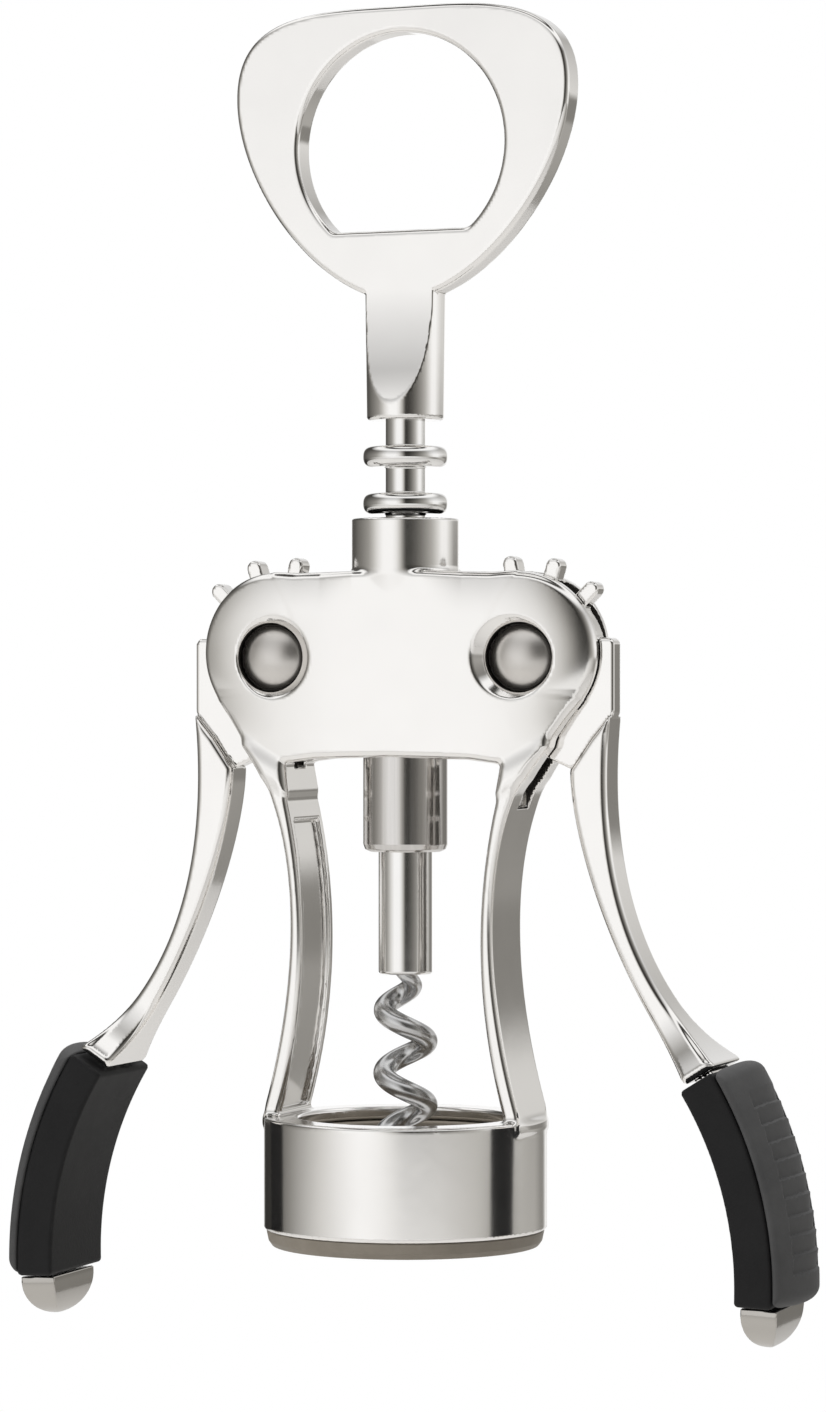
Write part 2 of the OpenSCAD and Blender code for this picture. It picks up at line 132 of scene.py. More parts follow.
# Degrees round from the front, and how bright the tent is there, in three bands of height
tentAround = {
    "high": [
        (-180, 1.0), (-152, 1.0), (-145, 0.14), (-134, 0.09), (-120, 0.09), (-104, 0.15), (-90, 0.20),
        (-76, 0.27), (-66, 0.35), (-55, 0.55), (-44, 0.80), (-32, 1.0), (-8, 1.0), (1, 0.85), (9, 0.50),
        (15, 0.20), (20, 0.04), (30, 0.05), (42, 0.10), (54, 0.18), (68, 0.34), (80, 0.52), (92, 0.82),
        (104, 1.0), (118, 1.0), (134, 0.85), (150, 0.72), (162, 0.70), (170, 0.60), (180, 1.0)],
    "level": [
        (-180, 1.0), (-152, 1.0), (-145, 0.14), (-134, 0.09), (-120, 0.09), (-104, 0.15), (-90, 0.20),
        (-76, 0.27), (-66, 0.33), (-55, 0.50), (-44, 0.74), (-36, 0.88), (-28, 1.0), (-8, 1.0), (1, 0.85),
        (9, 0.52), (15, 0.22), (20, 0.05), (30, 0.05), (42, 0.10), (54, 0.18), (68, 0.30), (80, 0.42),
        (92, 0.62), (104, 0.9), (118, 0.9), (130, 0.60), (146, 0.24), (164, 0.22), (172, 0.40), (180, 1.0)],
    "low": [
        (-180, 0.9), (-152, 0.6), (-144, 0.03), (-122, 0.035), (-104, 0.13), (-89, 0.26), (-54, 0.68),
        (-18, 0.98), (15, 0.90), (48, 0.79), (79, 0.56), (93, 0.38), (109, 0.28), (128, 0.42), (150, 0.42),
        (164, 0.25), (172, 0.25), (180, 0.9)],
}
# Degrees up from level: where the bands meet, how far the tent is dimmed, where the
# part overhead takes over, and how bright that is
tentUp = {
    "intoHigh": (1.5, 3.5),
    "outOfLow": (-5.2, -4.2),
    "dim": [(-90, 0.0), (3, 0.0), (18, 0.22), (40, 0.50), (90, 0.50)],
    "overhead": [(-90, 0.0), (33, 0.0), (46, 1.0), (90, 1.0)],
    "top": [(46, 1.0), (57, 1.0), (62, 0.05), (70, 0.04), (76, 0.85), (90, 1.0)],
}
tentWarmth = {
    "colour": (1.0, 0.985, 0.955),
    "inShade": 3,          # times stronger where the tent is dark
}


def turnShare(degrees):
    return 0.5 + degrees / 360


def tiltShare(degrees):
    return 0.5 + degrees / 180


def lightTent():
    world = bpy.data.worlds.new("lightTent")
    bpy.context.scene.world = world
    world.use_nodes = True
    tree = world.node_tree
    tree.nodes.clear()
    place = tree.nodes.new("ShaderNodeTexCoord")
    split = tree.nodes.new("ShaderNodeSeparateXYZ")
    tree.links.new(place.outputs["Generated"], split.inputs[0])

    def maths(operation, first, second=None, third=None):
        node = nodeIn(tree, "ShaderNodeMath", operation=operation)
        for socket, value in zip(node.inputs, (first, second, third)):
            if value is None:
                continue
            if isinstance(value, (int, float)):
                socket.default_value = value
            else:
                tree.links.new(value, socket)
        return node.outputs[0]

    def warmed(v):
        return tuple(v * (1 - (1 - w) * (1 - v) * tentWarmth["inShade"]) for w in tentWarmth["colour"])

    def grey(v):
        return (v, v, v)

    def ramp(stops, driver, toShare, toColour):
        node = rampNode(tree, [(toShare(degrees), toColour(v)) for degrees, v in stops], "LINEAR")
        tree.links.new(driver, node.inputs[0])
        return node.outputs[0]

    def blend(factor, first, second):
        node = nodeIn(tree, "ShaderNodeMix", data_type="RGBA")
        tree.links.new(factor, node.inputs["Factor"])
        tree.links.new(first, node.inputs[6])
        if second is None:
            node.inputs[7].default_value = (0, 0, 0, 1)
        else:
            tree.links.new(second, node.inputs[7])
        return node.outputs[2]

    def crossing(span):
        node = nodeIn(tree, "ShaderNodeMapRange")
        node.inputs["From Min"].default_value = tiltShare(span[0])
        node.inputs["From Max"].default_value = tiltShare(span[1])
        tree.links.new(height, node.inputs["Value"])
        return node.outputs[0]

    bearing = maths("ARCTAN2", split.outputs["X"], maths("MULTIPLY", split.outputs["Y"], -1.0))
    around = maths("MULTIPLY_ADD", bearing, 1 / (2 * math.pi), 0.5)
    height = maths("MULTIPLY_ADD", maths("ARCSINE", split.outputs["Z"]), 1 / math.pi, 0.5)
    bands = {name: ramp(stops, around, turnShare, warmed) for name, stops in tentAround.items()}
    walls = blend(crossing(tentUp["intoHigh"]), bands["level"], bands["high"])
    walls = blend(crossing(tentUp["outOfLow"]), bands["low"], walls)
    walls = blend(ramp(tentUp["dim"], height, tiltShare, grey), walls, None)
    over = ramp(tentUp["overhead"], height, tiltShare, grey)
    whole = blend(over, walls, ramp(tentUp["top"], height, tiltShare, warmed))
    sky = nodeIn(tree, "ShaderNodeBackground", Strength=studio["sky"])
    tree.links.new(whole, sky.inputs["Color"])
    # seen directly, the tent is plain white
    backdrop = nodeIn(tree, "ShaderNodeBackground", Color=(1, 1, 1, 1), Strength=1.0)
    seen = tree.nodes.new("ShaderNodeLightPath")
    pick = tree.nodes.new("ShaderNodeMixShader")
    tree.links.new(seen.outputs["Is Camera Ray"], pick.inputs[0])
    tree.links.new(sky.outputs[0], pick.inputs[1])
    tree.links.new(backdrop.outputs[0], pick.inputs[2])
    out = tree.nodes.new("ShaderNodeOutputWorld")
    tree.links.new(pick.outputs[0], out.inputs[0])


# The lamps stay out of reflections, where they would leave hard white patches
def hangLamp(name, place, aim, size, power):
    data = bpy.data.lights.new(name, "AREA")
    data.shape = "RECTANGLE"
    data.size, data.size_y = size
    data.energy = power
    lamp = bpy.data.objects.new(name, data)
    bpy.context.scene.collection.objects.link(lamp)
    lamp.location = place
    lamp.visible_glossy = False
    lamp.rotation_euler = (Vector(aim) - Vector(place)).to_track_quat("-Z", "Y").to_euler()


def layFloor():
    level, reach = studio["floorHeight"] * mm, studio["floorRadius"] * mm
    angles = np.linspace(0, 2 * math.pi, studio["floorSides"], endpoint=False)
    corners = [(reach * math.cos(a), reach * math.sin(a), level) for a in angles]
    mesh = bpy.data.meshes.new("paleFloor")
    mesh.from_pydata(corners, [], [tuple(range(len(corners)))])
    floor = bpy.data.objects.new("paleFloor", mesh)
    bpy.context.scene.collection.objects.link(floor)
    material = bpy.data.materials.new("palePaper")
    material.use_nodes = True
    shader = material.node_tree.nodes["Principled BSDF"]
    shader.inputs["Base Color"].default_value = studio["floorColour"]
    shader.inputs["Roughness"].default_value = studio["floorRough"]
    shader.inputs["Specular IOR Level"].default_value = studio["floorSheen"]
    mesh.materials.append(material)


placeCamera()
lightTent()
layFloor()
for lampName, lampValues in lamps.items():
    hangLamp(lampName, **lampValues)
bpy.context.scene.view_settings.view_transform = "Standard"
print("studio lit")


# Painted shade: where the gear slot and the pins' wells inside the housing are coloured near black, with a higher
# roughness, to stand in for the shade there
pocketShade = {
    "half": 2.08,          # half the slot's width, front to back
    "foot": 58.2,
    "clear": 71.3,         # from here up the slot runs out past the ears
    "top": 88.1,
    "reach": 21.9,         # how far out it runs below that
    "wall": 16.3,          # and how far in, beside the window
    "window": 65.3,
    "wellRadius": 4.63,
    # the painted shade's colour in the slot and wells
    "colour": (0.05, 0.047, 0.043),
    "rough": 0.5,
}


# Mask of the gear slot and pin wells that get painted shade
def pocketShadeMask(tree, place):
    split = tree.nodes.new("ShaderNodeSeparateXYZ")
    tree.links.new(place.outputs["Object"], split.inputs[0])

    def test(operation, source, limit):
        node = nodeIn(tree, "ShaderNodeMath", operation=operation)
        tree.links.new(source, node.inputs[0])
        if isinstance(limit, float):
            node.inputs[1].default_value = limit
        else:
            tree.links.new(limit, node.inputs[1])
        return node.outputs[0]

    def size(axis):
        node = nodeIn(tree, "ShaderNodeMath", operation="ABSOLUTE")
        tree.links.new(split.outputs[axis], node.inputs[0])
        return node.outputs[0]

    up = split.outputs["Z"]
    within = test("LESS_THAN", size("Y"), pocketShade["half"] * mm)
    within = test("MULTIPLY", within, test("LESS_THAN", up, pocketShade["top"] * mm))
    within = test("MULTIPLY", within, test("GREATER_THAN", up, pocketShade["foot"] * mm))
    span = test("LESS_THAN", size("X"), pocketShade["reach"] * mm)
    inward = test("MAXIMUM", test("GREATER_THAN", size("X"), pocketShade["wall"] * mm),
                  test("GREATER_THAN", up, pocketShade["window"] * mm))
    span = test("MULTIPLY", span, inward)
    slot = test("MULTIPLY", within, test("MAXIMUM", span, test("GREATER_THAN", up, pocketShade["clear"] * mm)))
    along = test("SUBTRACT", size("X"), pivotX * mm)
    rise = test("SUBTRACT", up, pivotZ * mm)
    away = test("ADD", test("MULTIPLY", along, along), test("MULTIPLY", rise, rise))
    well = test("LESS_THAN", away, (pocketShade["wellRadius"] * mm) ** 2)
    return test("MAXIMUM", slot, well)


def blankFinish(name, metallic):
    material = bpy.data.materials.new(name)
    material.use_nodes = True
    tree = material.node_tree
    shader = tree.nodes["Principled BSDF"]
    shader.inputs["Metallic"].default_value = metallic
    return material, tree, shader, tree.nodes.new("ShaderNodeTexCoord")


def noiseIn(tree, vector, **values):
    noise = nodeIn(tree, "ShaderNodeTexNoise", **values)
    tree.links.new(vector, noise.inputs["Vector"])
    return noise.outputs["Fac"]


def tinted(tree, driver, stops):
    node = rampNode(tree, stops, "LINEAR")
    tree.links.new(driver, node.inputs[0])
    return node.outputs[0]


def spread(tree, driver, least, most):
    node = nodeIn(tree, "ShaderNodeMapRange")
    node.inputs["To Min"].default_value = least
    node.inputs["To Max"].default_value = most
    tree.links.new(driver, node.inputs["Value"])
    return node.outputs[0]


def relief(tree, shader, height, strength, depth):
    bump = nodeIn(tree, "ShaderNodeBump", Strength=strength, Distance=depth)
    tree.links.new(height, bump.inputs["Height"])
    tree.links.new(bump.outputs[0], shader.inputs["Normal"])


# Plating with a faint cloudiness, over a cast surface that is very slightly uneven; with the pocket option on,
# painted shade darkens the gear slot and the pin wells
def castChrome(name, colour, rough, ripple=0.02, shadePockets=False):
    material, tree, shader, place = blankFinish(name, 1.0)
    cloud = noiseIn(tree, place.outputs["Object"], Scale=90.0, Detail=4.0, Roughness=0.6)
    platingAndShade = tinted(tree, cloud, [(0.3, tuple(c * 0.965 for c in colour)), (0.7, colour)])
    worn = spread(tree, cloud, rough * 0.75, rough * 1.35)
    # painted shade: the mask mixes a near-black colour into the plating and raises the roughness
    if shadePockets:
        mask = pocketShadeMask(tree, place)
        shadeMix = nodeIn(tree, "ShaderNodeMix", data_type="RGBA")
        shadeMix.inputs[7].default_value = (*pocketShade["colour"], 1)
        tree.links.new(mask, shadeMix.inputs["Factor"])
        tree.links.new(platingAndShade, shadeMix.inputs[6])
        platingAndShade = shadeMix.outputs[2]
        coarse = nodeIn(tree, "ShaderNodeMapRange")
        tree.links.new(mask, coarse.inputs["Value"])
        tree.links.new(worn, coarse.inputs["To Min"])
        coarse.inputs["To Max"].default_value = pocketShade["rough"]
        worn = coarse.outputs[0]
    tree.links.new(platingAndShade, shader.inputs["Base Color"])
    tree.links.new(worn, shader.inputs["Roughness"])
    wave = noiseIn(tree, place.outputs["Object"], Scale=260.0, Detail=2.0)
    relief(tree, shader, wave, ripple, 0.0003)
    return material


# Fine hairs, drawn out along the axis with the small stretch
def brushedMetal(name, colour, rough, stretch=(1400, 1400, 12), strength=0.12):
    material, tree, shader, place = blankFinish(name, 1.0)
    pull = nodeIn(tree, "ShaderNodeMapping")
    pull.inputs["Scale"].default_value = stretch
    tree.links.new(place.outputs["Object"], pull.inputs["Vector"])
    hairs = noiseIn(tree, pull.outputs[0], Scale=1.0, Detail=5.0, Roughness=0.65)
    tint = tinted(tree, hairs, [(0.25, tuple(c * 0.8 for c in colour)), (0.75, colour)])
    tree.links.new(tint, shader.inputs["Base Color"])
    tree.links.new(spread(tree, hairs, rough * 0.7, rough * 1.4), shader.inputs["Roughness"])
    relief(tree, shader, hairs, strength, 0.0001)
    return material


# Blotched colour and a fine grain
def mouldedRubber(name, dark, light, rough, pits=0.25):
    material, tree, shader, place = blankFinish(name, 0.0)
    blotch = noiseIn(tree, place.outputs["Object"], Scale=140.0, Detail=6.0, Roughness=0.7)
    tree.links.new(tinted(tree, blotch, [(0.3, dark), (0.75, light)]), shader.inputs["Base Color"])
    wipe = spread(tree, blotch, rough * 0.8, min(1.0, rough * 1.25))
    tree.links.new(wipe, shader.inputs["Roughness"])
    shader.inputs["Specular IOR Level"].default_value = 0.22
    grain = noiseIn(tree, place.outputs["Object"], Scale=2600.0, Detail=3.0)
    relief(tree, shader, grain, pits, 0.0001)
    return material


finishes = {
    "chrome_cast": castChrome("castChrome", (0.90, 0.885, 0.865), 0.085),
    "chrome_turned": castChrome("turnedChrome", (0.88, 0.87, 0.855), 0.07),
    "satin_chrome": castChrome("softChrome", (0.50, 0.48, 0.45), 0.11),
    "brushed_steel": brushedMetal("brushedSteel", (0.74, 0.72, 0.70), 0.11, strength=0.06),
    "satin_steel": castChrome("satinSteel", (0.70, 0.675, 0.645), 0.32, 0.08),
    "worm_steel": brushedMetal("drawnWire", (0.68, 0.68, 0.68), 0.22, (500, 500, 500), 0.05),
    "seat_liner": mouldedRubber("linerPlastic", (0.22, 0.195, 0.16), (0.28, 0.25, 0.21), 0.45, 0.1),
    "bush_plastic": mouldedRubber("bushPlastic", (0.02, 0.02, 0.02), (0.035, 0.035, 0.035), 0.4, 0.1),
    "grip_rubber": mouldedRubber("gripRubber", (0.008, 0.008, 0.0085), (0.015, 0.015, 0.0155), 0.6),
    # painted light: the pads' rubber is set lighter than the grips' to stand in for the light falling on their
    # outer faces
    "pad_rubber": mouldedRubber("padRubber", (0.062, 0.062, 0.063), (0.088, 0.088, 0.0885), 0.62),
}
# the frame's chrome, with painted shade in its gear slot and pin wells
frameChrome = castChrome("frameChrome", (0.90, 0.885, 0.865), 0.125, shadePockets=True)
slotOf = {part["node"]: part["material_slot"] for part in frame["record"]["subparts"]}
for nodeName, nodeObject in frame["nodes"].items():
    nodeObject.data.materials.clear()
    nodeObject.data.materials.append(finishes[slotOf[nodeName]])
print("finishes ready")


def makeMesh(name, points, faces, node, normals=None, finish=None):
    mesh = bpy.data.meshes.new(name)
    mesh.from_pydata((np.asarray(points) * mm).tolist(), [], [list(f) for f in faces])
    mesh.validate()
    mesh.polygons.foreach_set("use_smooth", [True] * len(mesh.polygons))
    if normals is not None:
        mesh.normals_split_custom_set_from_vertices(normals.tolist())
    mesh.update()
    piece = bpy.data.objects.new(name, mesh)
    bpy.context.scene.collection.objects.link(piece)
    body = next(b for b, nodes in frame["record"]["behaviour"]["bodies"].items() if node in nodes)
    mesh.materials.append(finish or finishes[slotOf[node]])
    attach(piece, body)
    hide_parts(node)
    print("made", name, len(mesh.vertices), "points")


# The right-hand piece, and its mirror image on the left
def makePair(name, node, points, faces, normals):
    makeMesh("right" + name, points, faces, "right_" + node, normals)
    flip = np.array([-1.0, 1.0, 1.0])
    makeMesh("left" + name, points * flip, np.asarray(faces)[:, ::-1], "left_" + node, normals * flip)


def softMin(a, b, k):
    h = np.maximum(k - np.abs(a - b), 0) / k
    return np.minimum(a, b) - h * h * k / 4


def softMax(a, b, k):
    return -softMin(-a, -b, k)


# A slab with the outline "flat", "half" thick each way in "depth", and edges rounded by r
def roundedSlab(flat, depth, half, r):
    a = flat + r
    b = depth - half + r
    return np.minimum(np.maximum(a, b), 0) + np.hypot(np.maximum(a, 0), np.maximum(b, 0)) - r


def roundedBox(sides, r):
    sides = [side + r for side in sides]
    outside = np.sqrt(sum(np.maximum(side, 0) ** 2 for side in sides))
    inside = np.minimum(np.maximum.reduce(sides), 0)
    return outside + inside - r


# A ring round the Z axis, given each point's distance from it, with edges rounded by r
def roundedRing(out, z, outer, inner, top, foot, r):
    return roundedBox([np.abs(out - (outer + inner) / 2) - (outer - inner) / 2,
                       np.abs(z - (top + foot) / 2) - (top - foot) / 2], r)


def bezier(points, steps):
    t = np.linspace(0, 1, steps + 1)[:, None]
    a, b, c, d = [np.array(p, float) for p in points]
    return (1 - t) ** 3 * a + 3 * t * (1 - t) ** 2 * b + 3 * t * t * (1 - t) * c + t ** 3 * d


tracing = {
    "step": 0.15,          # of the grid an outline is read onto
    "reach": 3.0,          # how far that grid runs past the outline
}


# The four weights of a cubic spline, t of the way from the second point to the third
def splineWeights(t):
    return [(1 - t) ** 3 / 6, (3 * t ** 3 - 6 * t * t + 4) / 6,
            (-3 * t ** 3 + 3 * t * t + 3 * t + 1) / 6, t ** 3 / 6]


# Signed distance to a closed outline, read off a fine smooth grid
def outlineField(points):
    step = tracing["step"]
    outline = np.asarray(points, float)
    start = outline.min(0) - tracing["reach"]
    count = np.ceil((outline.max(0) + tracing["reach"] - start) / step).astype(int) + 1
    ticks = [start[k] + step * np.arange(count[k]) for k in (0, 1)]
    across, up = np.meshgrid(*ticks, indexing="ij")
    nearest = np.full(across.shape, 1e9)
    inside = np.zeros(across.shape, bool)
    for (ax, az), (bx, bz) in zip(outline, np.roll(outline, -1, 0)):
        ex, ez = bx - ax, bz - az
        if ex * ex + ez * ez < 1e-12:
            continue
        ox, oz = across - ax, up - az
        t = np.clip((ox * ex + oz * ez) / (ex * ex + ez * ez), 0, 1)
        nearest = np.minimum(nearest, (ox - t * ex) ** 2 + (oz - t * ez) ** 2)
        if az != bz:
            inside ^= ((az > up) != (bz > up)) & (ox < ex * oz / ez)
    field = np.sqrt(nearest) * np.where(inside, -1, 1)
    for axis in (0, 1):
        margins = [(1, 1) if k == axis else (0, 0) for k in (0, 1)]
        edge = np.pad(field, margins, mode="reflect", reflect_type="odd")
        n = field.shape[axis]
        field = sum(w * np.take(edge, np.arange(k, k + n), axis) for k, w in enumerate((0.25, 0.5, 0.25)))
    flat = np.ascontiguousarray(field).ravel()

    def sample(x, z):
        u = (x - start[0]) / step
        w = (z - start[1]) / step
        uIn = np.clip(u, 1, count[0] - 3.001)
        wIn = np.clip(w, 1, count[1] - 3.001)
        i, j = uIn.astype(int), wIn.astype(int)
        total = np.zeros(len(x))
        upWeights = splineWeights(wIn - j)
        for a, wa in enumerate(splineWeights(uIn - i)):
            for b, wb in enumerate(upWeights):
                total += wa * wb * flat[(i + a - 1) * count[1] + j + b - 1]
        return total + step * np.hypot(u - uIn, w - wIn)

    return sample


# Lower corner, upper corner and step of the grid each casting is sampled on; those after
# the handle are measured from the right-hand pivot
castGrids = {
    "body": ((-28.6, -19.4, 1.6), (28.6, 19.4, 97.4), 0.345),
    "handle": ((-25.2, -6.5, 109.2), (25.2, 6.5, 166.2), 0.36),
    "lever": ((-14.2, -7.1, -57), (29.5, 7.1, 14.2), 0.34),
    "grip": ((21.5, -9, -86), (41.4, 9, -51), 0.33),
    "pad": ((21.5, -9, -86), (41.4, 9, -51), 0.24),
    "cap": ((29, -7.1, -93), (38, 7.1, -80), 0.2),
}
casting = {
    "block": 6,            # grid points along each side of a block that is kept or skipped whole
    "nearness": 1.15,      # how near the surface a block is kept, in blocks
    "band": 3,             # how far from the surface values are kept, in steps
    "batch": 400000,       # points worked out at once
    "nudge": 0.02,         # for reading the slope
    "pulls": 3,            # times the points are drawn onto the surface
    "longestPull": 0.35,   # in steps
    "leastSlope": 0.2,
}


# Casts a solid: the surface where shape(points) is zero, as quads with true normals
def cast(shape, grid, offset=(0, 0, 0)):
    c = casting
    start, end, step = np.add(grid[0], offset), np.add(grid[1], offset), grid[2]
    block = c["block"]
    blocks = -(-(np.ceil((end - start) / step).astype(int) + 1) // block)
    cells = np.stack(np.meshgrid(*[np.arange(n) for n in blocks], indexing="ij"), -1).reshape(-1, 3)
    there = shape(start + step * (cells * block + (block - 1) / 2))
    near = np.abs(there) < step * block * c["nearness"]
    values = np.sign(there).reshape(blocks)
    for axis in (0, 1, 2):
        values = np.repeat(values, block, axis)
    values = (values * c["band"] * step).astype(np.float32)
    local = np.stack(np.meshgrid(*[np.arange(block)] * 3, indexing="ij"), -1).reshape(-1, 3)
    places = (cells[near][:, None, :] * block + local[None]).reshape(-1, 3)
    batches = np.array_split(places, max(1, len(places) // c["batch"]))
    found = np.concatenate([shape(start + step * batch) for batch in batches])
    values[places[:, 0], places[:, 1], places[:, 2]] = np.clip(found, -c["band"] * step, c["band"] * step)
    volume = openvdb.FloatGrid(background=c["band"] * step)
    volume.copyFromArray(values)
    points, quads = volume.convertToQuads(isovalue=0.0)
    points = start + step * points.astype(float)

    def slopeAt(points):
        ways = c["nudge"] * np.eye(3)
        slope = np.stack([shape(points + way) - shape(points - way) for way in ways], 1) / (2 * c["nudge"])
        return slope, np.maximum(np.linalg.norm(slope, axis=1), c["leastSlope"])

    for _ in range(c["pulls"]):
        slope, size = slopeAt(points)
        shift = (shape(points) / size ** 2)[:, None] * slope
        length = np.maximum(np.linalg.norm(shift, axis=1, keepdims=True), 1e-9)
        points = points - shift * np.minimum(1, c["longestPull"] * step / length)
    slope, size = slopeAt(points)
    return points, quads, slope / size[:, None]


# Rounds the corners of a turned profile; gives radius, height and the surface's direction
def roundedProfile(profile, steps):
    out = []
    corners = [np.array(p[:2], float) for p in profile]
    radii = [p[2] if len(p) > 2 else 0 for p in profile]
    last = len(corners) - 1
    sides = [(b - a) / max(1e-9, np.linalg.norm(b - a)) for a, b in zip(corners, corners[1:])]
    face = [np.array([s[1], -s[0]]) for s in sides]
    for k, corner in enumerate(corners):
        if k in (0, last):
            out.append((*corner, *face[0 if k == 0 else -1]))
            continue
        before, after = sides[k - 1], sides[k]
        r = radii[k]
        turn = math.acos(max(-1, min(1, float(before @ after))))
        if r <= 0 or turn < 0.02:
            out.append((*corner, *face[k - 1]))
            out.append((*(corner + after * 1e-4), *face[k]))
            continue
        cut = min(r * math.tan(turn / 2), 0.49 * np.linalg.norm(corners[k] - corners[k - 1]),
                  0.49 * np.linalg.norm(corners[k + 1] - corners[k]))
        start, end = corner - before * cut, corner + after * cut
        for t in np.linspace(0, 1, steps + 1):
            way = face[k - 1] * math.sin((1 - t) * turn) + face[k] * math.sin(t * turn)
            way = way / np.linalg.norm(way)
            bend = (1 - t) ** 2 * start + 2 * t * (1 - t) * corner + t * t * end
            out.append((*bend, *way))
    return np.array(out)


# Turns a profile that runs up its outside; bump(angle, height) adds to the radius
def turned(profile, sides, steps, bump=None):
    rows = roundedProfile(profile, steps)
    loop = np.allclose(rows[0][:2], rows[-1][:2])
    if loop:
        rows = rows[:-1]
    angle = np.linspace(0, 2 * math.pi, sides, endpoint=False)
    c, s = np.cos(angle), np.sin(angle)
    points, normals = [], []
    for r, z, nr, nz in rows:
        radius = np.full(sides, r) if bump is None else r + bump(angle, z, r)
        points.append(np.stack([radius * c, radius * s, np.full(sides, z)], 1))
        normals.append(np.stack([nr * c, nr * s, np.full(sides, nz)], 1))
    faces = []
    for k in range(len(rows) - (0 if loop else 1)):
        m = (k + 1) % len(rows)
        for j in range(sides):
            n = (j + 1) % sides
            faces.append((k * sides + j, k * sides + n, m * sides + n, m * sides + j))
    if not loop:
        faces.append(tuple(range(sides - 1, -1, -1)))
        faces.append(tuple((len(rows) - 1) * sides + j for j in range(sides)))
    return np.concatenate(points), faces, np.concatenate(normals)


def makeTurned(name, node, profile, sides, steps, bump=None):
    points, faces, normals = turned(profile, sides, steps, bump)
    makeMesh(name, points, faces, node, normals)
ring = {
    "radius": high("body_frame")[1],
    "bore": 17.25,
    "rimBore": 14.25,
    "foot": low("body_frame")[2],
    "top": 17.1,
    "rim": 1.8,
    "edge": 0.5,
}
housing = {
    "windowZ": 65.0,
    "top": 89.8,
    "earRadius": 10.6,
    "earShift": (-0.4, 0.7),
    "earLean": 37.0,       # degrees, where the ear's round meets the side
    "faceY": 6.9,
    "crownRadius": 138.0,
    "edge": 1.0,
    "pillow": 0.65,        # how much thinner the plates are at their edges
    "pillowReach": 8.0,
    "pillowFoot": 67.0,
    "slotHalf": 2.0,
    "slotFoot": 58.3,
    "sweepTop": 88.0,
    "sweepFoot": 68.4,
    "bore": 5.9,
    "boreFoot": 45.0,
    "bushBore": 6.4,
    "bushFoot": 88.4,
    "wellRadius": 4.6,
    "wellFloor": 3.4,
    "wellBevel": 0.85,
    "collarRadius": 7.15,
    "collarFoot": 85.0,
    "collarTaper": 0.25,
    "collarBlend": 0.6,
    "collarTop": high("body_frame")[2],
    "crease": 0.25,        # rounding left where cuts meet the casting
}
legs = {
    "waist": 28.7,
    "thick": 1.8,
    "half": 6.3,
    "flange": 1.6,
    "channel": 0.7,
    "channelTop": 56.5,
    "slotWall": 0.8,       # left standing between the gear slot and the leg's inner face
    "edge": 0.75,
    "blend": 1.0,
    "narrow": 1.0,         # how much each side draws in where the leg meets its plate
    "narrowFoot": 57.0,
    "shoulder": 1.8,
    "trimTop": 41.0,       # below this the legs end at the ring's outer face
}


def legOuter():
    a = (pivotX + 3.7, housing["windowZ"] + 1.5)
    d = (ring["radius"] - 0.25, ring["top"] - 1.1)
    m = (4 * legs["waist"] - a[0] - d[0]) / 6
    fall = d[1] - a[1]
    return bezier([a, (m + 0.9, a[1] + 0.17 * fall), (m - 0.9, a[1] + 0.56 * fall), d], 160)


def legInner(inset):
    a = (pivotX - 1.7 + inset, housing["windowZ"] - 1.5)
    d = (ring["radius"] - 2.45 + inset, ring["top"] - 1.6)
    m = (4 * legs["waist"] - 8 * (legs["thick"] - inset) - a[0] - d[0]) / 6
    fall = d[1] - a[1]
    return bezier([a, (m + 0.65, a[1] + 0.28 * fall), (m - 0.65, a[1] + 0.61 * fall), d], 160)


